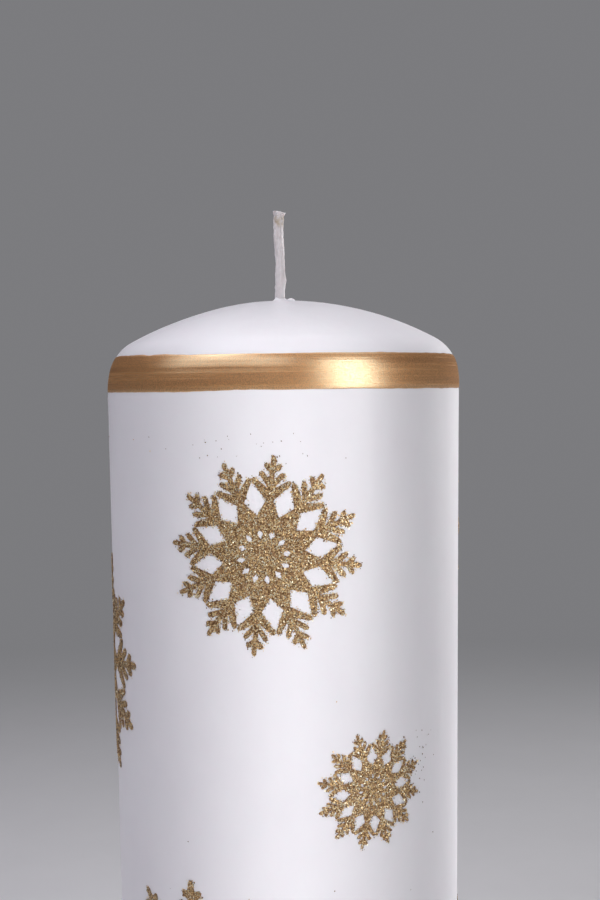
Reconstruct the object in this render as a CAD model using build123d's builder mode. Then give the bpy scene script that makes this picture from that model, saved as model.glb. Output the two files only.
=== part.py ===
"""Decorated pillar candle: pressed wax core, dipped outer wax, wick, gold band and glitter snowflakes.

Millimetres. The origin is the centre of the base, +Z is up, and -Y is the front.
"""

import os
from math import atan2, cos, hypot, radians, sin

from build123d import *

# The pillar
pillar_radius = 38.0
pillar_height = 228.0
crown_radius = 69.0          # the flat dome round the wick
crown_slope = 28.6           # degrees, where the dome meets the shoulder
shoulder_slope = 81.0        # degrees, where the shoulder meets the last, gentle curve
rim_radius = 24.0            # the gentle curve between shoulder and straight side
shell_thickness = 1.2
foot_round = 0.7

# The wick
wick_radius = 0.85
coat_thickness = 0.2
wick_offset = -0.45          # the wick stands a little left of the axis
wick_foot_z = 1.6
wick_leans = [(2.0, 0.0), (7.0, 0.1), (13.0, -0.2), (19.0, -0.05)]  # above the dome: height, sideways
wick_bends = [30.0, 12.0, 20.0]
collar_radius = 2.0          # wax that climbs the wick where it leaves the dome
collar_height = 0.7
collar_curve = 1.3           # radius of its hollow side
collar_bite = 0.2            # how far it runs into the dome, so that the two join
drip_x, drip_y = 2.1, -0.4   # a frozen drip beside the wick
drip_radius = 1.1
drip_height = 0.45

# The metal disc that holds the wick's foot
disc_radius = 10.0
disc_thickness = 0.3
neck_radius = 1.5
neck_height = 6.0
recess_depth = 1.2
recess_radius = 10.6

# The gold band
band_bottom = 209.06
band_top = 216.0
paint_thickness = 0.12

# The snowflakes, drawn for an arm of length 1 and scaled
glitter_thickness = 0.12
arm_count = 12
disc_reach = 0.412           # the solid middle, halfway between two arms
waist_reach, waist_half = 0.559, 0.035
spine_half = 0.0245
branch_width = 0.052
branches = [                 # along the spine where it starts, then its tip: along and to the side
    (0.622, 0.743, 0.169),
    (0.688, 0.814, 0.098),
    (0.845, 0.898, 0.061),
]
hole_reach, hole_length, hole_width = 0.229, 0.1, 0.064

large, small, largest = 19.4, 12.0, 26.6
snowflakes = {               # arm length, degrees round from the front, height, turn in degrees
    "snowflake_front_large": (large, -6.2, 177.4, 23.4),
    "snowflake_front_small": (small, 26.3, 130.1, 17.3),
    "snowflake_front_low": (largest, -27.8, 84.7, 5.3),
    "snowflake_front_foot": (small, 20.0, 42.0, 11.0),
    "snowflake_left_high": (largest, -94.5, 150.0, 6.0),
    "snowflake_left_low": (large, -101.0, 70.0, 19.0),
    "snowflake_left_foot": (small, -60.0, 31.0, 3.0),
    "snowflake_right_high": (large, 112.5, 179.0, 0.0),
    "snowflake_right_low": (largest, 70.0, 70.0, 9.0),
    "snowflake_right_foot": (small, 112.0, 27.0, 25.0),
    "snowflake_back_high": (large, 168.0, 152.0, 21.0),
    "snowflake_back_middle": (largest, -151.0, 108.0, 12.0),
    "snowflake_back_low": (large, 150.0, 66.0, 4.0),
    "snowflake_back_small_high": (small, -140.0, 188.0, 8.0),
    "snowflake_back_small_middle": (small, 127.0, 127.0, 27.0),
    "snowflake_back_small_foot": (small, -166.0, 33.0, 16.0),
}

# Worked out from the dimensions above
crown_end, shoulder_end = radians(crown_slope), radians(shoulder_slope)
shoulder_radius = (
    pillar_radius - crown_radius * sin(crown_end) - rim_radius * (1 - sin(shoulder_end))
) / (sin(shoulder_end) - sin(crown_end))
side_top = (
    pillar_height
    - crown_radius * (1 - cos(crown_end))
    - shoulder_radius * (cos(crown_end) - cos(shoulder_end))
    - rim_radius * cos(shoulder_end)
)
coat_radius = wick_radius + coat_thickness
margin = 1.0                 # how far a cutting shape runs past what it cuts


def pillar_face(skin):
    """Half of the pillar's upright section, its surface moved out by skin."""
    with BuildSketch(Plane.XZ) as section:
        with BuildLine():
            Line((0, 0), (pillar_radius + skin, 0))
            side = Line((pillar_radius + skin, 0), (pillar_radius + skin, side_top))
            rim = JernArc(side @ 1, (0, 1), rim_radius + skin, 90 - shoulder_slope)
            shoulder = JernArc(rim @ 1, rim % 1, shoulder_radius + skin, shoulder_slope - crown_slope)
            crown = RadiusArc(shoulder @ 1, (0, pillar_height + skin), -(crown_radius + skin))
            Line(crown @ 1, (0, 0))
        make_face()
    return section.sketch


def wick_line():
    """The wick's centre line, from its foot to its cut end."""
    foot = (wick_offset, 0, wick_foot_z)
    leans = [(wick_offset + lean, 0, pillar_height + height) for height, lean in wick_leans]
    return FilletPolyline(foot, *leans, radius=wick_bends)


def round_about_wick(radius, low, high, mode=Mode.ADD):
    """An upright cylinder on the wick's axis, from one height to another."""
    with Locations((wick_offset, 0, low)):
        Cylinder(radius, high - low, align=(Align.CENTER, Align.CENTER, Align.MIN), mode=mode)


def on_wax(along, across, turn, length):
    """A snowflake point, drawn on the arm that turn gives, as it lies on the flat sketch plane.

    The plane faces the wax, so an arc of the round side is drawn at the width of its chord.
    """
    angle = radians(turn) + atan2(across, along)
    reach = length * hypot(along, across)
    return pillar_radius * sin(reach * cos(angle) / pillar_radius), reach * sin(angle)


def branch_outline(root, along, across):
    """One branch, from its inner side at the spine, round its blunt tip, and back to the spine."""
    length = hypot(along - root, across)
    ahead = ((along - root) / length, across / length)
    half = branch_width / 2

    def point(forward, outward):
        return (
            along + forward * ahead[0] + outward * ahead[1],
            across + forward * ahead[1] - outward * ahead[0],
        )

    def at_spine(outward):
        low, high = point(-length, outward), point(0, outward)
        share = (spine_half - low[1]) / (high[1] - low[1])
        return low[0] + share * (high[0] - low[0]), spine_half

    tip = [point(0, -half), point(half, -half / 2), point(half, half / 2), point(0, half)]
    return [at_spine(-half), *tip, at_spine(half)]


def snowflake_face(length, turn):
    """The snowflake's outline: a pierced star, with a feathered arm on each of its points."""
    lowest, *others = [branch_outline(*branch) for branch in branches]
    half_arm = [(waist_reach, waist_half), *lowest[1:]]  # the lowest branch starts at the waist
    for branch in others:
        half_arm += branch
    half_arm += [(1 - spine_half, spine_half), (1, spine_half / 2)]
    step = 360 / arm_count
    outline = []
    for count in range(arm_count):
        arm = turn + step * count
        outline.append(on_wax(disc_reach, 0, arm - step / 2, length))
        outline += [on_wax(along, -across, arm, length) for along, across in half_arm]
        outline += [on_wax(along, across, arm, length) for along, across in reversed(half_arm)]
    Polygon(*outline, align=None)
    for count in range(arm_count):
        gap = turn + step * (count + 0.5)
        corners = [
            on_wax(hole_reach - hole_length / 2, 0, gap, length),
            on_wax(hole_reach, hole_width / 2, gap, length),
            on_wax(hole_reach + hole_length / 2, 0, gap, length),
            on_wax(hole_reach, -hole_width / 2, gap, length),
        ]
        Polygon(*corners, align=None, mode=Mode.SUBTRACT)


os.makedirs("parts", exist_ok=True)

# The pressed wax body, with the wick's channel and a recess in the base for the disc
with BuildPart() as wax_core:
    revolve(pillar_face(-shell_thickness), axis=Axis.Z)
    round_about_wick(coat_radius, 0, pillar_height, mode=Mode.SUBTRACT)
    round_about_wick(recess_radius, 0, recess_depth, mode=Mode.SUBTRACT)
    round_about_wick(neck_radius, 0, recess_depth + neck_height, mode=Mode.SUBTRACT)
wax_core.part.label = "wax_core"
export_step(wax_core.part, "parts/wax_core.step")

# The dipped outer wax, open at the base, with its collar round the wick and its frozen drip
with BuildPart() as overdip_shell:
    revolve(pillar_face(0), axis=Axis.Z)
    foot_edge = overdip_shell.edges().filter_by(GeomType.CIRCLE).sort_by(Axis.Z)[0]
    fillet(foot_edge, foot_round)
    with BuildSketch(Plane.XZ) as collar_section:
        with BuildLine():
            top = (wick_offset + coat_radius, pillar_height + collar_height)
            foot = (wick_offset + collar_radius, pillar_height - collar_bite / 2)
            RadiusArc(foot, top, collar_curve)
            Polyline(top, (wick_offset, top[1]), (wick_offset, pillar_height - collar_bite),
                     (foot[0], pillar_height - collar_bite), foot)
        make_face()
    revolve(axis=Axis((wick_offset, 0, 0), (0, 0, 1)))
    with Locations((drip_x, drip_y, pillar_height + drip_height - drip_radius)):
        Sphere(drip_radius)
    revolve(pillar_face(-shell_thickness), axis=Axis.Z, mode=Mode.SUBTRACT)
    round_about_wick(coat_radius, 0, pillar_height + 2 * collar_height, mode=Mode.SUBTRACT)
overdip_shell.part.label = "overdip_shell"
export_step(overdip_shell.part, "parts/overdip_shell.step")

# The cotton, one piece from the disc to its cut end
with BuildPart() as wick:
    with BuildLine():
        wick_line()
    with BuildSketch(Plane((wick_offset, 0, wick_foot_z))):
        Circle(wick_radius)
    sweep()
wick.part.label = "wick"
export_step(wick.part, "parts/wick.step")

# The priming wax round the cotton
with BuildPart() as wick_wax_coat:
    with BuildLine():
        wick_line()
    with BuildSketch(Plane((wick_offset, 0, wick_foot_z))):
        Circle(coat_radius)
        Circle(wick_radius, mode=Mode.SUBTRACT)
    sweep()
wick_wax_coat.part.label = "wick_wax_coat"
export_step(wick_wax_coat.part, "parts/wick_wax_coat.step")

# The disc that holds the wick's foot, with its crimped neck
with BuildPart() as wick_sustainer:
    round_about_wick(disc_radius, recess_depth - disc_thickness, recess_depth)
    round_about_wick(neck_radius, recess_depth, recess_depth + neck_height)
    round_about_wick(coat_radius, wick_foot_z, recess_depth + neck_height, mode=Mode.SUBTRACT)
wick_sustainer.part.label = "wick_sustainer"
export_step(wick_sustainer.part, "parts/wick_sustainer.step")

# The painted ring round the shoulder
with BuildPart() as gold_band:
    revolve(pillar_face(paint_thickness), axis=Axis.Z)
    revolve(pillar_face(0), axis=Axis.Z, mode=Mode.SUBTRACT)
    with Locations((0, 0, (band_bottom + band_top) / 2)):
        Cylinder(pillar_radius + margin, band_top - band_bottom, mode=Mode.INTERSECT)
gold_band.part.label = "gold_band"
export_step(gold_band.part, "parts/gold_band.step")

# The snowflakes, each a thin patch on the round side of the wax
for name, (length, round_from_front, height, turn) in snowflakes.items():
    angle = radians(round_from_front)
    outward = (sin(angle), -cos(angle), 0)
    sideways = (cos(angle), sin(angle), 0)
    inward = (-sin(angle), cos(angle), 0)
    with BuildPart() as snowflake:
        with BuildSketch(Plane((0, 0, height), x_dir=sideways, z_dir=outward)):
            snowflake_face(length, turn)
        extrude(amount=pillar_radius + margin)
        with BuildSketch(Plane((0, 0, height - length - margin), x_dir=inward, z_dir=(0, 0, 1))):
            Circle(pillar_radius + glitter_thickness)
            Circle(pillar_radius, mode=Mode.SUBTRACT)
        extrude(amount=2 * (length + margin), mode=Mode.INTERSECT)
    snowflake.part.label = name
    export_step(snowflake.part, f"parts/{name}.step")
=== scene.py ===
"""The looks of the candle: dipped wax, wick, painted band, glitter snowflakes, floor, light and camera.

Metres in Blender; sizes below are in millimetres and are multiplied by MM where points are made.
The origin is the centre of the base, +Z is up, and the camera looks along +Y.
"""

import math

import bpy
import numpy as np
from mathutils import Matrix, Vector


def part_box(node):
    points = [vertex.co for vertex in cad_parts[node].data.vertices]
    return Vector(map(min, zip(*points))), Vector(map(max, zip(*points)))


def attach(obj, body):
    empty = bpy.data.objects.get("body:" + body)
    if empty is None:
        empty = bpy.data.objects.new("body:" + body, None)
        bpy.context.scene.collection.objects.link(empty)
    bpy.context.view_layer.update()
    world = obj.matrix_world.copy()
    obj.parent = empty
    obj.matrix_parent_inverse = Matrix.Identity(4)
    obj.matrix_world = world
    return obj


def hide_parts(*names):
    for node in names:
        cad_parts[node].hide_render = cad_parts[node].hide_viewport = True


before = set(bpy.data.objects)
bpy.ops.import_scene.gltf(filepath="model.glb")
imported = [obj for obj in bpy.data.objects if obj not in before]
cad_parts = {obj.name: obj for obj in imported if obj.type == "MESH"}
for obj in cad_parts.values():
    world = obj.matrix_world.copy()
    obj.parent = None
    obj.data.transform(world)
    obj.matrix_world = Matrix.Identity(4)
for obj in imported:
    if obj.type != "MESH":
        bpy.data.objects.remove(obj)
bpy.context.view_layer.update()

MM = 0.001

# The pillar's outline, as in the CAD model
CROWN_RADIUS = 69.0
RIM_RADIUS = 24.0
CROWN_SLOPE = math.radians(28.6)
SHOULDER_SLOPE = math.radians(81.0)
FOOT_ROUND = 0.7

# Sizes read from the frame
PILLAR_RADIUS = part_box("overdip_shell")[1].x / MM
CORE_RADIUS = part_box("wax_core")[1].x / MM
SHELL_THICKNESS = PILLAR_RADIUS - CORE_RADIUS
PILLAR_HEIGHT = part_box("wax_core")[1].z / MM + SHELL_THICKNESS
BAND_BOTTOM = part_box("gold_band")[0].z / MM
BAND_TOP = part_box("gold_band")[1].z / MM
WICK_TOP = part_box("wick")[1].z / MM
WICK_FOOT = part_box("wick")[0].z / MM
WICK_X = (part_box("wick_sustainer")[0].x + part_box("wick_sustainer")[1].x) / 2 / MM
SHOULDER_RADIUS = (
    PILLAR_RADIUS - CROWN_RADIUS * math.sin(CROWN_SLOPE) - RIM_RADIUS * (1 - math.sin(SHOULDER_SLOPE))
) / (math.sin(SHOULDER_SLOPE) - math.sin(CROWN_SLOPE))
SIDE_TOP = (
    PILLAR_HEIGHT
    - CROWN_RADIUS * (1 - math.cos(CROWN_SLOPE))
    - SHOULDER_RADIUS * (math.cos(CROWN_SLOPE) - math.cos(SHOULDER_SLOPE))
    - RIM_RADIUS * math.cos(SHOULDER_SLOPE)
)

AROUND = 288                 # columns of the wax
SIDE_ROWS = 104              # rows of the wax up its straight side


# ---------------------------------------------------------------- mesh helpers

def waves(points, size, seed, count=16):
    """Smooth random relief, mostly between -1 and 1, with bumps of about size mm along x, y and z."""
    random = np.random.default_rng(seed)
    ways = random.normal(size=(count, 3))
    ways *= 2 * np.pi / np.linalg.norm(ways, axis=1, keepdims=True) / np.asarray(size, float)
    starts = random.uniform(0, 2 * np.pi, count)
    total = sum(np.sin(points @ way + start) for way, start in zip(ways, starts))
    return total / math.sqrt(count)


def grid_faces(rows, columns, close_rows=False):
    """Four-sided faces over a grid of points whose columns run all the way round."""
    row = np.arange(rows if close_rows else rows - 1)[:, None]
    column = np.arange(columns)[None, :]
    above, beside = (row + 1) % rows, (column + 1) % columns
    corners = [
        row * columns + column,
        row * columns + beside,
        above * columns + beside,
        above * columns + column,
    ]
    return np.stack([np.broadcast_to(c, (row.size, columns)) for c in corners], axis=-1).reshape(-1, 4)


def cap_faces(first, columns, centre, upward):
    """A fan of triangles from a ring of points to a centre point."""
    ring = first + np.arange(columns)
    ahead = first + (np.arange(columns) + 1) % columns
    fan = [ring, ahead] if upward else [ahead, ring]
    return np.stack([*fan, np.full(columns, centre)], axis=-1)


def new_piece(name, points, polygons, materials, smooth=True, material_of=None):
    """A mesh piece that rides on the candle. points are in mm. polygons are arrays, a row for each face."""
    mesh = bpy.data.meshes.new(name)
    mesh.vertices.add(len(points))
    mesh.vertices.foreach_set("co", (np.asarray(points) * MM).astype(np.float32).ravel())
    corners = np.concatenate([p.ravel() for p in polygons]).astype(np.int32)
    counts = np.concatenate([np.full(len(p), p.shape[1]) for p in polygons])
    mesh.loops.add(len(corners))
    mesh.loops.foreach_set("vertex_index", corners)
    mesh.polygons.add(len(counts))
    mesh.polygons.foreach_set("loop_start", (np.cumsum(counts) - counts).astype(np.int32))
    mesh.polygons.foreach_set("use_smooth", np.full(len(counts), smooth))
    if material_of is not None:
        mesh.polygons.foreach_set("material_index", material_of.astype(np.int32))
    for material in materials:
        mesh.materials.append(material)
    mesh.update(calc_edges=True)
    mesh.validate()
    piece = bpy.data.objects.new(name, mesh)
    bpy.context.scene.collection.objects.link(piece)
    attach(piece, "root")
    return piece


# ---------------------------------------------------------------- material helpers

def new_material(name, **values):
    """A material with one Principled shader, and plain numbers on its sockets."""
    material = bpy.data.materials.new(name)
    material.use_nodes = True
    shader = material.node_tree.nodes["Principled BSDF"]
    for socket, value in values.items():
        shader.inputs[socket.replace("_", " ")].default_value = value
    return material, material.node_tree, shader


def stretched(tree, scale):
    """Object coordinates, in metres, multiplied by scale along each axis."""
    where = tree.nodes.new("ShaderNodeTexCoord")
    mapping = tree.nodes.new("ShaderNodeMapping")
    mapping.inputs["Scale"].default_value = scale
    tree.links.new(where.outputs["Object"], mapping.inputs["Vector"])
    return mapping.outputs["Vector"]


def noise(tree, scale, detail=2.0, roughness=0.5):
    """A noise between 0 and 1. scale is in bumps a metre along x, y and z."""
    texture = tree.nodes.new("ShaderNodeTexNoise")
    texture.inputs["Scale"].default_value = 1.0
    texture.inputs["Detail"].default_value = detail
    texture.inputs["Roughness"].default_value = roughness
    tree.links.new(stretched(tree, scale), texture.inputs["Vector"])
    return texture.outputs["Fac"]


def spread(tree, value, low, high, to_low, to_high):
    """A value from between low and high, moved to between to_low and to_high and held there."""
    node = tree.nodes.new("ShaderNodeMapRange")
    for socket, number in zip(("From Min", "From Max", "To Min", "To Max"), (low, high, to_low, to_high)):
        node.inputs[socket].default_value = number
    tree.links.new(value, node.inputs["Value"])
    return node.outputs["Result"]


def multiply(tree, one, other):
    """The product of two values."""
    node = tree.nodes.new("ShaderNodeMath")
    node.operation = "MULTIPLY"
    tree.links.new(one, node.inputs[0])
    tree.links.new(other, node.inputs[1])
    return node.outputs[0]


def blend_colours(tree, share, one, other):
    """A colour between one and other. Each is three numbers or a colour output."""
    node = tree.nodes.new("ShaderNodeMix")
    node.data_type = "RGBA"
    tree.links.new(share, node.inputs["Factor"])
    for socket, colour in (("A", one), ("B", other)):
        wanted = next(s for s in node.inputs if s.name == socket and s.type == "RGBA")
        if isinstance(colour, tuple):
            wanted.default_value = (*colour, 1)
        else:
            tree.links.new(colour, wanted)
    return next(s for s in node.outputs if s.type == "RGBA")


def bump(tree, shader, height, depth):
    """Relief of depth metres from a value between 0 and 1, added to any that the shader has."""
    node = tree.nodes.new("ShaderNodeBump")
    node.inputs["Strength"].default_value = 1.0
    node.inputs["Distance"].default_value = depth
    tree.links.new(height, node.inputs["Height"])
    if shader.inputs["Normal"].is_linked:
        tree.links.new(shader.inputs["Normal"].links[0].from_socket, node.inputs["Normal"])
    tree.links.new(node.outputs["Normal"], shader.inputs["Normal"])


# ---------------------------------------------------------------- materials

def wax_material():
    """Dipped white paraffin: faintly mottled, soft gloss with upright streaks, a little light inside."""
    material, tree, shader = new_material(
        "dipped_wax", IOR=1.44, Specular_IOR_Level=0.85, Subsurface_Weight=0.3,
        Subsurface_Radius=(1.0, 0.85, 0.9), Subsurface_Scale=0.0009,
    )
    mottle = spread(tree, noise(tree, (45, 45, 30), 4, 0.6), 0.35, 0.65, 0, 1)
    colour = blend_colours(tree, mottle, (0.865, 0.845, 0.885), (0.895, 0.88, 0.915))
    tree.links.new(colour, shader.inputs["Base Color"])
    streaks = noise(tree, (420, 420, 18), 3, 0.6)
    tree.links.new(spread(tree, streaks, 0.3, 0.7, 0.34, 0.42), shader.inputs["Roughness"])
    bump(tree, shader, noise(tree, (160, 160, 60), 2, 0.5), 0.00012)
    bump(tree, shader, noise(tree, (1300, 1300, 900), 2, 0.5), 0.000012)
    return material


def core_material():
    """Pressed wax grains: a fine crumb of pale cells."""
    material, tree, shader = new_material("pressed_wax", IOR=1.44, Roughness=0.55)
    cells = tree.nodes.new("ShaderNodeTexVoronoi")
    cells.inputs["Scale"].default_value = 1.0
    tree.links.new(stretched(tree, (900, 900, 900)), cells.inputs["Vector"])
    grain = spread(tree, cells.outputs["Distance"], 0.0, 0.8, 0, 1)
    colour = blend_colours(tree, grain, (0.90, 0.89, 0.88), (0.80, 0.79, 0.79))
    tree.links.new(colour, shader.inputs["Base Color"])
    bump(tree, shader, cells.outputs["Distance"], -0.0002)
    return material


def tin_material():
    """Tin plate, rolled and a little scratched."""
    material, tree, shader = new_material("tin_plate", Metallic=1.0)
    rolled = noise(tree, (60, 2600, 60), 3, 0.6)
    colour = blend_colours(tree, rolled, (0.56, 0.56, 0.55), (0.70, 0.70, 0.69))
    tree.links.new(colour, shader.inputs["Base Color"])
    tree.links.new(spread(tree, rolled, 0.3, 0.7, 0.25, 0.45), shader.inputs["Roughness"])
    bump(tree, shader, rolled, 0.00001)
    return material


def gold_paint_material():
    """Gold paint brushed on round the candle: a brown body in level streaks, full of pale metal flakes."""
    material, tree, body = new_material("gold_paint", Metallic=0.6)
    flakes = tree.nodes.new("ShaderNodeBsdfPrincipled")
    flakes.inputs["Metallic"].default_value = 1.0
    flakes.inputs["Base Color"].default_value = (1.0, 0.94, 0.64, 1)
    streaks = noise(tree, (14, 14, 1500), 4, 0.65)
    broad = noise(tree, (18, 18, 320), 2, 0.5)
    grain = noise(tree, (4200, 4200, 4200), 2, 0.6)
    streaked = spread(tree, streaks, 0.35, 0.65, 0, 1)
    colour = blend_colours(tree, streaked, (0.76, 0.35, 0.13), (0.95, 0.465, 0.175))
    colour = blend_colours(tree, spread(tree, broad, 0.35, 0.7, 0, 0.4), colour, (0.60, 0.26, 0.10))
    tree.links.new(colour, body.inputs["Base Color"])
    tree.links.new(spread(tree, streaks, 0.3, 0.7, 0.42, 0.54), body.inputs["Roughness"])
    tree.links.new(spread(tree, streaks, 0.3, 0.7, 0.23, 0.29), flakes.inputs["Roughness"])
    for shader in (body, flakes):
        bump(tree, shader, streaks, 0.00003)
        bump(tree, shader, grain, 0.00003)
    mixed = tree.nodes.new("ShaderNodeMixShader")
    tree.links.new(spread(tree, grain, 0.40, 0.60, 0.26, 0.54), mixed.inputs["Fac"])
    tree.links.new(body.outputs["BSDF"], mixed.inputs[1])
    tree.links.new(flakes.outputs["BSDF"], mixed.inputs[2])
    tree.links.new(mixed.outputs["Shader"], tree.nodes["Material Output"].inputs["Surface"])
    return material


def glue_and_shade_material():
    """Clear glue stained by the gold in it, seen between the grains, with painted shade: its darkest brown
    stands in for the shadow between the grains.
    """
    material, tree, shader = new_material("glitter_glue", Metallic=0.5, Roughness=0.5)
    grain = noise(tree, (2600, 2600, 2600), 2, 0.6)
    gold_share = spread(tree, grain, 0.35, 0.65, 0, 1)
    # The near-black brown is painted shade between the grains; the lighter brown is the gold-stained glue.
    colour = blend_colours(tree, gold_share, (0.16, 0.08, 0.03), (0.50, 0.30, 0.15))
    tree.links.new(colour, shader.inputs["Base Color"])
    bump(tree, shader, grain, 0.00012)
    return material


def priming_material():
    """White wax over the braid, with a brown stain near the cut end."""
    material, tree, shader = new_material(
        "priming_wax", IOR=1.44, Subsurface_Weight=0.3,
        Subsurface_Radius=(1.0, 0.85, 0.8), Subsurface_Scale=0.0004,
    )
    place = tree.nodes.new("ShaderNodeTexCoord")
    apart = tree.nodes.new("ShaderNodeSeparateXYZ")
    tree.links.new(place.outputs["Object"], apart.inputs["Vector"])
    height = apart.outputs["Z"]
    stain_top, stain_foot = (WICK_TOP - 0.9) * MM, (WICK_TOP - 2.7) * MM
    rising = spread(tree, height, stain_foot - 1.2 * MM, stain_foot + 0.4 * MM, 0, 1)
    falling = spread(tree, height, stain_top - 0.3 * MM, stain_top + 0.2 * MM, 1, 0)
    blotch = spread(tree, noise(tree, (900, 900, 700), 2, 0.6), 0.38, 0.60, 0.1, 0.85)
    stain = multiply(tree, multiply(tree, rising, falling), blotch)
    cloud = noise(tree, (900, 900, 500), 3, 0.6)
    pale = blend_colours(tree, cloud, (0.58, 0.53, 0.53), (0.86, 0.83, 0.85))
    tree.links.new(blend_colours(tree, stain, pale, (0.40, 0.31, 0.18)), shader.inputs["Base Color"])
    rough = spread(tree, noise(tree, (1500, 1500, 900)), 0.3, 0.7, 0.5, 0.75)
    tree.links.new(rough, shader.inputs["Roughness"])
    bump(tree, shader, noise(tree, (2400, 2400, 1600), 2, 0.5), 0.00010)
    return material


def cotton_material():
    """Bleached cotton fibres."""
    material, tree, shader = new_material("cotton_fibre", Roughness=0.85, Sheen_Weight=0.3)
    fibre = noise(tree, (5000, 5000, 700), 2, 0.6)
    colour = blend_colours(tree, fibre, (0.72, 0.70, 0.67), (0.93, 0.92, 0.90))
    tree.links.new(colour, shader.inputs["Base Color"])
    bump(tree, shader, fibre, 0.00004)
    return material


def glitter_materials():
    """Gold grains in four tones. Each is plain, because the grains themselves make the pattern. The deepest
    tone is painted shade: a near-black brown for grains that stand in shade.
    """
    tones = {
        # Painted shade: this near-black brown stands in for grains turned away from the light.
        "glitter_painted_shade": ((0.16, 0.08, 0.03), 0.42),
        "glitter_gold": ((0.74, 0.49, 0.22), 0.34),
        "glitter_bright": ((0.93, 0.70, 0.37), 0.28),
        "glitter_pale": ((1.00, 0.93, 0.68), 0.20),
    }
    made = []
    for name, (colour, roughness) in tones.items():
        material, _, _ = new_material(name, Metallic=0.55, Base_Color=(*colour, 1), Roughness=roughness)
        made.append(material)
    return made


# ---------------------------------------------------------------- the wax

def wax_outline():
    """Points up the side and over the dome: radius, height, and how far up they face, in radians."""
    foot = np.linspace(-np.pi / 2, 0, 7)[:-1]
    rim = np.linspace(0, np.pi / 2 - SHOULDER_SLOPE, 7)
    shoulder = np.linspace(np.pi / 2 - SHOULDER_SLOPE, np.pi / 2 - CROWN_SLOPE, 34)[1:]
    reach = CROWN_RADIUS * math.sin(CROWN_SLOPE) * np.linspace(1, 0, 112)[1:-1] ** 1.7
    crown = np.arccos(reach / CROWN_RADIUS)
    side_heights = np.linspace(FOOT_ROUND, SIDE_TOP, SIDE_ROWS)
    rim_centre = np.array([PILLAR_RADIUS - RIM_RADIUS, SIDE_TOP])
    turn = np.array([math.sin(SHOULDER_SLOPE), math.cos(SHOULDER_SLOPE)])
    shoulder_centre = rim_centre + (RIM_RADIUS - SHOULDER_RADIUS) * turn
    parts = [
        (PILLAR_RADIUS - FOOT_ROUND, FOOT_ROUND, FOOT_ROUND, foot),
        (*rim_centre, RIM_RADIUS, rim[1:]),
        (*shoulder_centre, SHOULDER_RADIUS, shoulder),
        (0.0, PILLAR_HEIGHT - CROWN_RADIUS, CROWN_RADIUS, crown),
    ]
    arcs = [np.stack([x + r * np.cos(t), z + r * np.sin(t), t], axis=1) for x, z, r, t in parts]
    side = np.stack([np.full(SIDE_ROWS, PILLAR_RADIUS), side_heights, np.zeros(SIDE_ROWS)], axis=1)
    return np.concatenate([arcs[0], side, *arcs[1:]])


OUTLINE = wax_outline()


def turned(radii, heights, columns):
    """Rings of points round the axis, as a grid."""
    angle = np.arange(columns) * 2 * np.pi / columns
    x = radii[:, None] * np.sin(angle)
    y = -radii[:, None] * np.cos(angle)
    z = np.broadcast_to(heights[:, None], x.shape)
    return np.stack([x, y, z], axis=-1)


def facing(slopes, columns):
    """Outward directions that go with a grid of turned points."""
    return turned(np.cos(slopes), np.sin(slopes), columns)


def smooth_step(value, low, high):
    """0 below low, 1 above high, and a smooth rise between."""
    share = np.clip((value - low) / (high - low), 0, 1)
    return share * share * (3 - 2 * share)


SLOW_WAVE = 0.03             # how far slow waves move the wax in and out
RUN_DEPTH = 0.008            # the faint upright runs
SLUMP = 0.42                 # how far in the wax lies on the left shoulder
SLUMP_LEFT = (4, 24)         # where that starts and is whole, to the left of the axis
SLUMP_UP = (207, 217)        # and in height


def dip_relief(points):
    """How far the wax stands out from the true outline."""
    flat = points.reshape(-1, 3)
    slow = SLOW_WAVE * waves(flat, (70, 70, 110), seed=3)
    runs = RUN_DEPTH * waves(flat, (13, 13, 70), seed=5)
    leftward, height = -flat[:, 0], flat[:, 2]
    slump = smooth_step(leftward, *SLUMP_LEFT) * smooth_step(height, *SLUMP_UP)
    return (slow + runs - SLUMP * slump).reshape(points.shape[:-1])


DRIP_X, DRIP_Y, DRIP_RADIUS, DRIP_HEIGHT = 1.93, -0.4, 0.88, 0.66
NUB_X, NUB_Y, NUB_HEIGHT = 0.95, -0.5, 0.42
CLIMB_HEIGHT = 0.75          # of the wax against the wick
CLIMB_WIDTH = 0.38


def dome_drips(points):
    """Wax that climbs the wick, and the drip and nub frozen beside it."""
    x, y = points[..., 0], points[..., 1]
    away = np.hypot(x - WICK_X, y)
    round_wick = np.arctan2(y, x - WICK_X)
    uneven = 1 + 0.25 * np.sin(2 * round_wick + 0.6)
    climb = CLIMB_HEIGHT * np.exp(-np.maximum(away - 1.0, 0) / CLIMB_WIDTH) * uneven
    drip_away = np.hypot(x - DRIP_X, y - DRIP_Y) / DRIP_RADIUS
    drip = DRIP_HEIGHT * np.sqrt(np.clip(1 - drip_away**2, 0, 1))
    nub = NUB_HEIGHT * np.exp(-((x - NUB_X) ** 2 + (y - NUB_Y) ** 2) / 0.12)
    return np.maximum(climb, np.maximum(drip, nub))


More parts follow.
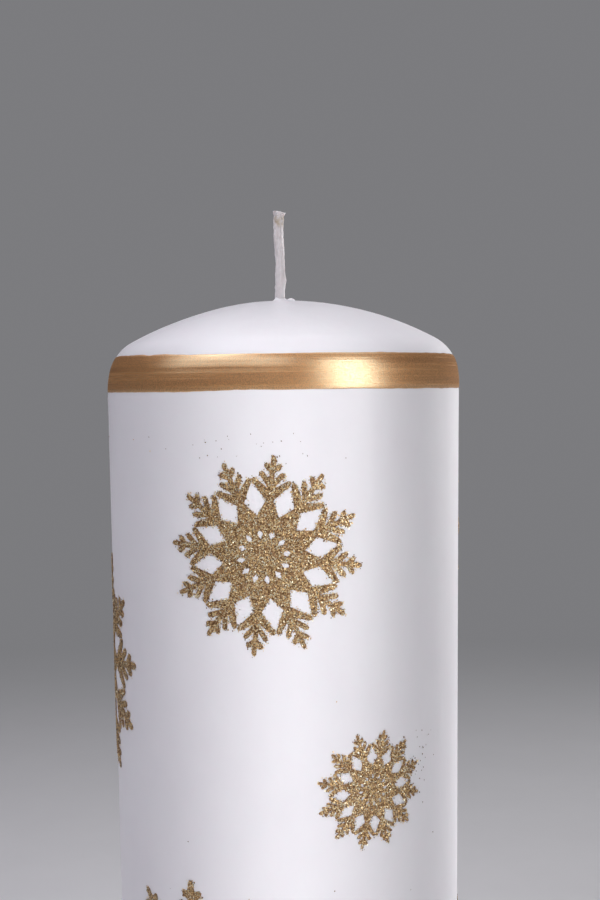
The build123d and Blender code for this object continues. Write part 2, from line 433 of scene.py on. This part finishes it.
def make_wax(material):
    """The dipped skin: the outer surface, over the dome and back down the inside, as one closed wall."""
    radii, heights, slopes = OUTLINE.T
    outer = turned(radii, heights, AROUND)
    relief = dip_relief(outer) * np.clip(heights / 2, 0, 1)[:, None]
    outer = outer + facing(slopes, AROUND) * relief[..., None]
    outer[..., 2] += np.where(heights[:, None] > BAND_TOP + 1, dome_drips(outer), 0)
    # The inside is hidden and smooth, so it takes only a few of the outline's rows
    inner_rows = np.r_[0, np.arange(20, 100, 20), np.arange(110, len(radii), 16), len(radii) - 1]
    inner = OUTLINE[inner_rows]
    inner_radii = inner[:, 0] - SHELL_THICKNESS * np.cos(inner[:, 2])
    inner_heights = np.maximum(inner[:, 1] - SHELL_THICKNESS * np.sin(inner[:, 2]), 0)
    inner_radii[0], inner_heights[0] = CORE_RADIUS, 0
    inside = turned(inner_radii, inner_heights, AROUND)[::-1]
    grid = np.concatenate([inside, outer])
    rows = len(grid)
    points = grid.reshape(-1, 3)
    tops = [[0, 0, PILLAR_HEIGHT - SHELL_THICKNESS], [0, 0, points[-1, 2]]]
    points = np.concatenate([points, tops])
    faces = [
        grid_faces(rows, AROUND),
        cap_faces(0, AROUND, rows * AROUND, upward=False),
        cap_faces((rows - 1) * AROUND, AROUND, rows * AROUND + 1, upward=True),
    ]
    wax = new_piece("outer_wax", points, faces, [material])
    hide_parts("overdip_shell")


# ---------------------------------------------------------------- the painted band

PAINT_THICKNESS = 0.10       # above the wax, in the middle of the band
EDGE_THICKNESS = 0.01
PAINT_DEPTH = 0.06           # how far the paint's inner face lies inside the wax
BAND_COLUMNS = 720
BAND_ROWS = 64


def band_edges(angle):
    """The heights of the band's hand-held lower and upper edges, at each angle round from the front."""
    ring = turned(np.array([PILLAR_RADIUS]), np.array([0.0]), len(angle))[0]
    leftness = -np.sin(angle)
    from_front = np.degrees((angle + np.pi) % (2 * np.pi) - np.pi)
    # The lower edge falls on both sides, and more on the left
    low = BAND_BOTTOM - 0.27 * smooth_step(leftness, 0.2, 0.53) - 0.13 * smooth_step(-leftness, 0.37, 0.7)
    low += 0.035 * waves(ring, 9, seed=11) + 0.02 * waves(ring, 2.5, seed=12)
    # The upper edge rises on the left, sags a little in front, and has one notch on the left
    high = BAND_TOP + 0.50 * smooth_step(leftness, 0.34, 0.82) - 0.13 * np.exp(-((from_front / 22) ** 2))
    high -= 0.20 * np.exp(-(((from_front + 47) / 2.2) ** 2))
    high += 0.03 * waves(ring, 9, seed=13) + 0.02 * waves(ring, 2.5, seed=14)
    return low, high


def make_band(material):
    """The band of paint: hand-held edges, thin at both, with brush ridges that run round it."""
    angle = np.arange(BAND_COLUMNS) * 2 * np.pi / BAND_COLUMNS
    low, high = band_edges(angle)
    share = np.linspace(0, 1, BAND_ROWS)[:, None]
    heights = low + share * (high - low)
    radii = np.interp(heights, OUTLINE[:, 1], OUTLINE[:, 0])
    slopes = np.interp(heights, OUTLINE[:, 1], OUTLINE[:, 2])
    x_way, y_way = np.sin(angle), -np.cos(angle)
    base = np.stack([radii * x_way, radii * y_way, heights], axis=-1)
    out = np.stack([np.cos(slopes) * x_way, np.cos(slopes) * y_way, np.sin(slopes)], axis=-1)
    base = base + out * dip_relief(base)[..., None]
    ridges = 0.006 * waves(base.reshape(-1, 3), (90, 90, 1.1), seed=15).reshape(heights.shape)
    ridges += 0.004 * waves(base.reshape(-1, 3), (60, 60, 0.45), seed=16).reshape(heights.shape)
    taper = 1 - np.abs(2 * share - 1) ** 10
    thickness = EDGE_THICKNESS + taper * (PAINT_THICKNESS - EDGE_THICKNESS + ridges)
    outer = base + out * thickness[..., None]
    inner = (base - out * PAINT_DEPTH)[[-1, BAND_ROWS // 2, 0]]
    grid = np.concatenate([outer, inner])
    faces = [grid_faces(len(grid), BAND_COLUMNS, close_rows=True)]
    band = new_piece("painted_band", grid.reshape(-1, 3), faces, [material])
    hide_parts("gold_band")


# ---------------------------------------------------------------- the wick

CUT_SLOPE = -0.19            # the cut end falls to the right
SLEEVE_RADIUS = 1.02
SLEEVE_WALL = 0.2
SLEEVE_COLUMNS = 48
SLEEVE_TOP = WICK_TOP - 0.15
CORD_RADIUS = 0.72
CORD_COLUMNS = 24
STRANDS = 4                  # of the braid, each way round
TWIST = 2.2                  # of the braid, in radians a millimetre
FIBRES = 150                 # at the cut end
FIBRE_SIDES = 6
FIBRE_RINGS = 5


def wick_lean(heights):
    """How far the wick's centre line stands from the axis, sideways, at each height."""
    above = heights - PILLAR_HEIGHT
    bends = [1, 2.5, 4.5, 8.5, 11, 12.5, 14, 16, 17.5, 19]
    leans = [0, 0.05, 0.08, 0.07, -0.04, -0.16, -0.20, -0.16, -0.10, -0.02]
    return WICK_X + np.interp(above, bends, leans)


def wick_tube(radius_at, heights, columns):
    """Rings round the wick's centre line. radius_at(angle, height) gives each point's radius."""
    angle = np.arange(columns) * 2 * np.pi / columns
    height = np.broadcast_to(heights[:, None], (len(heights), columns))
    radius = radius_at(np.broadcast_to(angle, height.shape), height)
    x = wick_lean(height) + radius * np.sin(angle)
    return np.stack([x, -radius * np.cos(angle), height], axis=-1)


def braid(angle, height):
    """The crossing strands of a braid, between -1 and 1. height is in mm."""
    return np.cos(STRANDS * angle + TWIST * height) * np.cos(STRANDS * angle - TWIST * height)


def sleeve_radius(angle, height):
    """The waxed sleeve's outside: braid, lumps, a bulge on the right, a nub on the left, a flared end."""
    above = height - PILLAR_HEIGHT
    right = np.cos(angle - np.pi / 2)
    spots = np.stack([np.sin(angle) * 9, np.cos(angle) * 9, above * 3], axis=-1)
    lumps = 0.06 * waves(spots.reshape(-1, 3), 9, seed=21).reshape(angle.shape)
    bulge = 0.24 * np.exp(-(((above - 4.5) / 1.1) ** 2)) * np.clip(right, 0, 1) ** 2
    nub = 0.12 * np.exp(-(((above - 3.0) / 0.35) ** 2)) * np.clip(-right, 0, 1) ** 3
    skirt = np.clip(0.10 * np.exp(-above / 0.9) * (above > -1), 0, 0.2)
    flare = 0.35 * np.clip((above - 17.9) / 0.9, 0, 1) ** 1.5
    texture = (0.035 * braid(angle, above) + lumps) * (above > 0)
    return SLEEVE_RADIUS + texture + bulge + nub + skirt + flare


def sleeve_bore(angle, height):
    """The sleeve's inside."""
    return sleeve_radius(angle, height) - SLEEVE_WALL


def make_priming(material):
    """The waxed sleeve: one closed wall whose upper end is cut at a slope."""
    hidden = np.linspace(WICK_FOOT, PILLAR_HEIGHT - 2, 12)
    seen = np.linspace(PILLAR_HEIGHT - 1, SLEEVE_TOP, 150)
    outer = wick_tube(sleeve_radius, np.r_[hidden, seen], SLEEVE_COLUMNS)
    hidden = np.linspace(WICK_FOOT, PILLAR_HEIGHT, 12)
    seen = np.linspace(PILLAR_HEIGHT + 2, SLEEVE_TOP - 0.05, 18)
    inner = wick_tube(sleeve_bore, np.r_[hidden, seen], SLEEVE_COLUMNS)[::-1]
    grid = np.concatenate([outer, inner])
    end = np.clip((grid[..., 2] - (SLEEVE_TOP - 2)) / 2, 0, 1)
    grid[..., 2] += end * CUT_SLOPE * (grid[..., 0] - wick_lean(grid[..., 2]))
    faces = [grid_faces(len(grid), SLEEVE_COLUMNS, close_rows=True)]
    sleeve = new_piece("wick_priming", grid.reshape(-1, 3), faces, [material])
    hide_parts("wick_wax_coat")


def cord_radius(angle, height):
    """The braided cord inside the sleeve."""
    return CORD_RADIUS + 0.05 * braid(angle, height)


def splayed_fibre(reach, turn, thick, tall):
    """Rings of points up one fibre. It starts below the cut end and leans further out towards its top."""
    share = np.linspace(0, 1, FIBRE_RINGS)[:, None]
    out = reach * (0.70 + 0.42 * share**3)
    z = WICK_TOP - 1.6 + share * (1.50 + tall) + share * CUT_SLOPE * out * np.sin(turn)
    x = wick_lean(z) + out * np.sin(turn)
    centre = np.concatenate([x, -out * np.cos(turn), z], axis=1)
    angle = np.arange(FIBRE_SIDES) * 2 * np.pi / FIBRE_SIDES
    width = thick * np.array([1, 1, 1, 0.95, 0.5])[:, None]
    flat = np.zeros((FIBRE_RINGS, FIBRE_SIDES))
    ring = np.stack([width * np.cos(angle), width * np.sin(angle), flat], axis=-1)
    return centre[:, None, :] + ring


def make_cotton(material):
    """The cotton: a braided cord inside the sleeve, and its fibres splayed at the cut end."""
    heights = np.r_[WICK_FOOT, np.linspace(PILLAR_HEIGHT, WICK_TOP - 0.6, 60)]
    body = wick_tube(cord_radius, heights, CORD_COLUMNS)
    points, faces = [body.reshape(-1, 3)], [grid_faces(len(heights), CORD_COLUMNS)]
    total = len(heights) * CORD_COLUMNS
    ends = [[wick_lean(heights[0]), 0, heights[0]], [wick_lean(heights[-1]), 0, heights[-1]]]
    points.append(np.array(ends))
    faces.append(cap_faces(0, CORD_COLUMNS, total, upward=False))
    faces.append(cap_faces(total - CORD_COLUMNS, CORD_COLUMNS, total + 1, upward=True))
    total += len(ends)
    random = np.random.default_rng(31)
    reaches = np.sqrt(random.uniform(0, 1, FIBRES))
    turns = random.uniform(0, 2 * np.pi, FIBRES)
    widths = random.uniform(0.05, 0.09, FIBRES)
    extras = random.normal(0, 0.05, FIBRES)
    for reach, turn, thick, tall in zip(reaches, turns, widths, extras):
        fibre = splayed_fibre(reach, turn, thick, tall)
        points.append(fibre.reshape(-1, 3))
        points.append(fibre[[0, -1]].mean(axis=1))
        faces.append(total + grid_faces(FIBRE_RINGS, FIBRE_SIDES))
        last = total + FIBRE_RINGS * FIBRE_SIDES
        faces.append(cap_faces(total, FIBRE_SIDES, last, upward=False))
        faces.append(cap_faces(last - FIBRE_SIDES, FIBRE_SIDES, last + 1, upward=True))
        total = last + 2
    cotton = new_piece("wick_cotton", np.concatenate(points), faces, [material])
    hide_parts("wick")


# ---------------------------------------------------------------- the glitter

GRAINS_PER_MM2 = 27.0
GRAIN_SIZE = 0.135           # half a usual grain's width
SIZE_SPREAD = 0.24           # of the logarithm of a grain's size
GRAIN_LIFT = 0.04            # the most that a grain stands off the glue
GRAIN_TILT = 0.36            # how far a usual grain leans, in radians
# The first share is of the painted-shade tone.
TONE_SHARES = [0.28, 0.27, 0.24, 0.21]
GLUE_FACE_DEPTH = 0.03       # outer triangles of a snowflake lie within this of its greatest radius
SCATTER_MIDDLE = 0.12        # how far a usual grain strays near a snowflake's middle
SCATTER_TIPS = 0.24          # and at the tips of its branches, which are stencilled less cleanly
STRAY_SIZE = 0.15
STRAY_LIFT = 0.03
# The stray grains are nearly all the painted-shade tone, so they look shaded.
STRAY_TONES = [0.88, 0.10, 0.02, 0]
STRAYS_ALL_OVER = 70
STRAYS_BY_EACH = 16
# Two thin showers: how many grains, their angle and its spread, and their height and its spread
ABOVE_LARGE = (34, -16, 13, 198.5, 1.7)
BESIDE_SMALL = (26, 45.5, 2.6, 134.5, 3.6)


def grains(name, centres, random, materials, lift, usual_size, tone_shares):
    """Tilted gold grains on the wax: each a four-sided chip with a point below, so that it is closed."""
    count = len(centres)
    outward = centres * np.array([1.0, 1.0, 0.0])
    outward /= np.linalg.norm(outward, axis=1, keepdims=True)
    tilt = np.abs(random.normal(0, GRAIN_TILT, count))
    spin, way = random.uniform(0, 2 * np.pi, (2, count))
    sideways = np.stack([-outward[:, 1], outward[:, 0], np.zeros(count)], axis=1)
    upright = np.array([0.0, 0.0, 1.0])
    lean = np.cos(way)[:, None] * sideways + np.sin(way)[:, None] * upright
    normal = np.cos(tilt)[:, None] * outward + np.sin(tilt)[:, None] * lean
    first = np.cross(normal, upright)
    first /= np.linalg.norm(first, axis=1, keepdims=True)
    second = np.cross(normal, first)
    size = usual_size * np.clip(random.lognormal(0, SIZE_SPREAD, count), 0.55, 1.6)
    corners = []
    for quarter in range(4):
        angle = spin + quarter * np.pi / 2 + random.uniform(-0.3, 0.3, count)
        reach = (size * random.uniform(0.8, 1.15, count))[:, None]
        corners.append(centres + reach * (np.cos(angle)[:, None] * first + np.sin(angle)[:, None] * second))
    point = centres - normal * (size * 0.6)[:, None]
    raised = outward * (lift * random.uniform(0.2, 1.0, count))[:, None]
    points = np.stack([*corners, point], axis=1) + raised[:, None, :]
    start = np.arange(count)[:, None] * 5
    tops = start + np.array([0, 1, 2, 3])
    sides = [start + np.array([(k + 1) % 4, k, 4]) for k in range(4)]
    tone = random.choice(len(materials), count, p=tone_shares)
    new_piece(
        name, points.reshape(-1, 3), [tops, *sides], materials, smooth=False,
        material_of=np.concatenate([tone] * 5),
    )


def snowflake_centres(node, random):
    """Seeded points over a snowflake's outer face, a little past its edges."""
    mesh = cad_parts[node].data
    mesh.calc_loop_triangles()
    corners = np.array([v.co for v in mesh.vertices]) / MM
    triangles = corners[np.array([t.vertices for t in mesh.loop_triangles])]
    away = np.hypot(triangles[..., 0], triangles[..., 1])
    triangles = triangles[away.min(axis=1) > away.max() - GLUE_FACE_DEPTH]
    sides = np.cross(triangles[:, 1] - triangles[:, 0], triangles[:, 2] - triangles[:, 0])
    area = np.linalg.norm(sides, axis=1) / 2
    count = int(area.sum() * GRAINS_PER_MM2)
    chosen = triangles[random.choice(len(triangles), count, p=area / area.sum())]
    one, two = random.uniform(0, 1, (2, count, 1))
    folded = one + two > 1
    one, two = np.where(folded, 1 - one, one), np.where(folded, 1 - two, two)
    centres = chosen[:, 0] + one * (chosen[:, 1] - chosen[:, 0]) + two * (chosen[:, 2] - chosen[:, 0])
    middle = (corners.min(axis=0) + corners.max(axis=0)) / 2
    out = np.linalg.norm(centres - middle, axis=1)
    tipward = smooth_step(out / np.ptp(corners[:, 2]), 0.14, 0.30)
    scatter = SCATTER_MIDDLE + (SCATTER_TIPS - SCATTER_MIDDLE) * tipward
    centres += scatter[:, None] * random.normal(0, 1, centres.shape)
    reach = away.max() + random.normal(0, 0.02, count)
    centres[:, :2] *= (reach / np.hypot(centres[:, 0], centres[:, 1]))[:, None]
    return centres


def on_side(angle, height):
    """Points on the wax, at angles in degrees round from the front."""
    turn = np.radians(angle)
    return np.stack([PILLAR_RADIUS * np.sin(turn), -PILLAR_RADIUS * np.cos(turn), height], axis=1)


def shower(random, count, angle, angle_spread, height, height_spread):
    """Points on the wax, round one place."""
    angles = random.normal(angle, angle_spread, count)
    return on_side(angles, random.normal(height, height_spread, count))


def stray_centres(flake_centres):
    """Where single grains fell: a few all over, some by each snowflake, and two thin showers in front."""
    random = np.random.default_rng(99)
    count = STRAYS_ALL_OVER
    few = on_side(random.uniform(0, 360, count), random.uniform(4, BAND_BOTTOM - 3, count))
    spots = [few, shower(random, *ABOVE_LARGE), shower(random, *BESIDE_SMALL)]
    for centres in flake_centres:
        near = centres[random.integers(0, len(centres), STRAYS_BY_EACH)]
        near = near + random.normal(0, 1.6, near.shape)
        near[:, :2] *= (PILLAR_RADIUS / np.hypot(near[:, 0], near[:, 1]))[:, None]
        spots.append(near)
    spots = np.concatenate(spots)
    return spots[(spots[:, 2] > 3) & (spots[:, 2] < BAND_BOTTOM - 1)]


def make_glitter():
    """Glue, coloured with painted shade between the grains, on each snowflake's CAD piece, grains over it,
    and a few stray grains on the wax near by.
    """
    glue_and_shade, materials = glue_and_shade_material(), glitter_materials()
    flakes = sorted(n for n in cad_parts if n.startswith("snowflake_"))
    flake_centres = []
    for number, node in enumerate(flakes):
        dress_node(node, glue_and_shade)
        random = np.random.default_rng(100 + number)
        centres = snowflake_centres(node, random)
        name = node.replace("snowflake", "glitter")
        grains(name, centres, random, materials, GRAIN_LIFT, GRAIN_SIZE, TONE_SHARES)
        flake_centres.append(centres)
    strays = stray_centres(flake_centres)
    random = np.random.default_rng(98)
    grains("stray_glitter", strays, random, materials, STRAY_LIFT, STRAY_SIZE, STRAY_TONES)


# ---------------------------------------------------------------- floor, light and camera

BACKDROP = (0.20, 0.20, 0.21)
FLOOR_RINGS = [0.05, 150.0, 400.0, 1000.0, 6000.0]
FLOOR_COLUMNS = 96
FLOOR_DROP = 0.02            # the floor lies this far below the candle's base
FADE_START = 0.20            # where the floor starts to fade, in metres from the axis
FADE_END = 0.74
PANEL_DISTANCE = 0.80        # metres, for all panels but the two strips
AIM = Vector((0.0, 0.0, 0.16))


def make_stage():
    """A plain pale floor that fades into the backdrop far behind the candle."""
    rows = len(FLOOR_RINGS)
    grid = turned(np.array(FLOOR_RINGS), np.full(rows, -FLOOR_DROP), FLOOR_COLUMNS)
    faces = grid_faces(rows, FLOOR_COLUMNS)
    mesh = bpy.data.meshes.new("floor")
    mesh.from_pydata((grid.reshape(-1, 3) * MM).tolist(), [], faces.tolist())
    material, tree, shader = new_material(
        "floor_paper", Roughness=0.9, Specular_IOR_Level=0.0, Emission_Color=(*BACKDROP, 1)
    )
    place = tree.nodes.new("ShaderNodeTexCoord")
    distance = tree.nodes.new("ShaderNodeVectorMath")
    distance.operation = "LENGTH"
    tree.links.new(place.outputs["Object"], distance.inputs[0])
    far = spread(tree, distance.outputs["Value"], FADE_START, FADE_END, 0, 1)
    fleck = noise(tree, (30, 30, 30), 3, 0.6)
    paper = blend_colours(tree, fleck, (0.82, 0.82, 0.83), (0.87, 0.87, 0.88))
    tree.links.new(blend_colours(tree, far, paper, (0.0, 0.0, 0.0)), shader.inputs["Base Color"])
    tree.links.new(far, shader.inputs["Emission Strength"])
    mesh.materials.append(material)
    floor = bpy.data.objects.new("floor", mesh)
    bpy.context.scene.collection.objects.link(floor)


def area_light(name, azimuth, elevation, size, power, colour, lights="both", distance=PANEL_DISTANCE):
    """A soft panel that faces the middle of the candle. Azimuth 0 is the camera's side, 90 the right.

    It lights matt colour ("matt"), or gloss ("gloss"), or both.
    """
    light = bpy.data.lights.new(name, "AREA")
    light.shape = "RECTANGLE"
    light.size, light.size_y = size
    light.energy = power
    light.color = colour
    panel = bpy.data.objects.new(name, light)
    across = Matrix.Rotation(math.radians(azimuth), 3, "Z")
    turn = across @ Matrix.Rotation(-math.radians(elevation), 3, "X")
    place = AIM + distance * (turn @ Vector((0.0, -1.0, 0.0)))
    facing_in = turn @ Matrix.Rotation(math.pi / 2, 3, "X")
    panel.matrix_world = Matrix.Translation(place) @ facing_in.to_4x4()
    bpy.context.scene.collection.objects.link(panel)
    panel.visible_camera = False
    panel.visible_glossy = lights != "matt"
    panel.visible_diffuse = lights != "gloss"
    return panel


def make_lights():
    """Panels on all sides, and two dim strips close to the front. Three of them skip the floor."""
    plain, cool, lilac = (1.0, 0.985, 0.99), (0.985, 0.975, 1.05), (1.0, 0.94, 1.05)
    area_light("key", 43, 14, (0.38, 0.80), 1.60, plain)
    area_light("key_glint", 44, 14, (0.44, 0.80), 1.40, plain, lights="gloss")
    area_light("high_left", -40, 38, (0.50, 0.35), 1.32, cool, lights="matt")
    area_light("sheen", -42, 46, (1.10, 0.35), 1.40, cool, lights="gloss")
    area_light("top_left", -90, 68, (0.50, 0.40), 1.37, cool)
    area_light("top_right", 90, 68, (0.50, 0.40), 0.54, cool)
    area_light("top_back", 180, 68, (0.50, 0.40), 0.92, plain)
    area_light("left", -105, 8, (0.25, 0.45), 0.86, lilac, lights="matt")
    area_light("behind_left", -150, 45, (0.35, 0.30), 0.28, lilac)
    area_light("rim_right", 125, 5, (0.16, 0.40), 1.50, plain, lights="matt")
    area_light("rim_glint", 125, 5, (0.16, 0.40), 0.60, plain, lights="gloss")
    behind = area_light("behind_right", 140, 12, (0.30, 0.50), 8.20, plain, lights="matt")
    strip_size, close = (0.008, 0.50), 0.075
    left = area_light("front_strip_left", -8, 0, strip_size, 0.029, plain, lights="matt", distance=close)
    right = area_light("front_strip_right", 8, 0, strip_size, 0.041, plain, lights="matt", distance=close)
    no_floor = bpy.data.collections.new("no_floor")
    no_floor.objects.link(bpy.data.objects["floor"])
    no_floor.collection_objects[0].light_linking.link_state = "EXCLUDE"
    for panel in (behind, left, right):
        panel.light_linking.receiver_collection = no_floor


def make_world():
    """Faint even light, with the backdrop's grey behind it for the camera."""
    world = bpy.data.worlds.new("studio")
    world.use_nodes = True
    tree = world.node_tree
    output = next(n for n in tree.nodes if n.type == "OUTPUT_WORLD")
    ambient = tree.nodes["Background"]
    ambient.inputs["Color"].default_value = (0.95, 0.95, 1.0, 1)
    ambient.inputs["Strength"].default_value = 0.03
    backdrop = tree.nodes.new("ShaderNodeBackground")
    backdrop.inputs["Color"].default_value = (*BACKDROP, 1)
    backdrop.inputs["Strength"].default_value = 1.0
    ray = tree.nodes.new("ShaderNodeLightPath")
    chosen = tree.nodes.new("ShaderNodeMixShader")
    tree.links.new(ray.outputs["Is Camera Ray"], chosen.inputs["Fac"])
    tree.links.new(ambient.outputs["Background"], chosen.inputs[1])
    tree.links.new(backdrop.outputs["Background"], chosen.inputs[2])
    tree.links.new(chosen.outputs["Shader"], output.inputs["Surface"])
    bpy.context.scene.world = world
    bpy.context.scene.view_settings.view_transform = "Standard"


CAMERA_PLACE = (0.0, -0.2676, 0.2097)
CAMERA_DOWN = math.radians(6.37)
CAMERA_ROLL = math.radians(-0.695)


def make_camera():
    """Close in front of the candle's upper part, a little above its shoulder, looking slightly down."""
    data = bpy.data.cameras.new("camera")
    data.lens = 48.69
    data.sensor_width = 36.0
    data.shift_x = 0.0168
    data.shift_y = 0.08
    data.clip_start = 0.01
    data.clip_end = 100.0
    camera = bpy.data.objects.new("camera", data)
    camera.location = CAMERA_PLACE
    turn = Matrix.Rotation(math.pi / 2 - CAMERA_DOWN, 4, "X") @ Matrix.Rotation(CAMERA_ROLL, 4, "Z")
    camera.matrix_world = Matrix.Translation(camera.location) @ turn
    bpy.context.scene.collection.objects.link(camera)
    bpy.context.scene.camera = camera


def dress_node(node, material):
    """Gives a CAD piece that stays a better material."""
    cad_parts[node].data.materials.clear()
    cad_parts[node].data.materials.append(material)


make_camera()
make_wax(wax_material())
dress_node("wax_core", core_material())
dress_node("wick_sustainer", tin_material())
make_band(gold_paint_material())
make_priming(priming_material())
make_cotton(cotton_material())
make_glitter()
make_stage()
make_lights()
make_world()
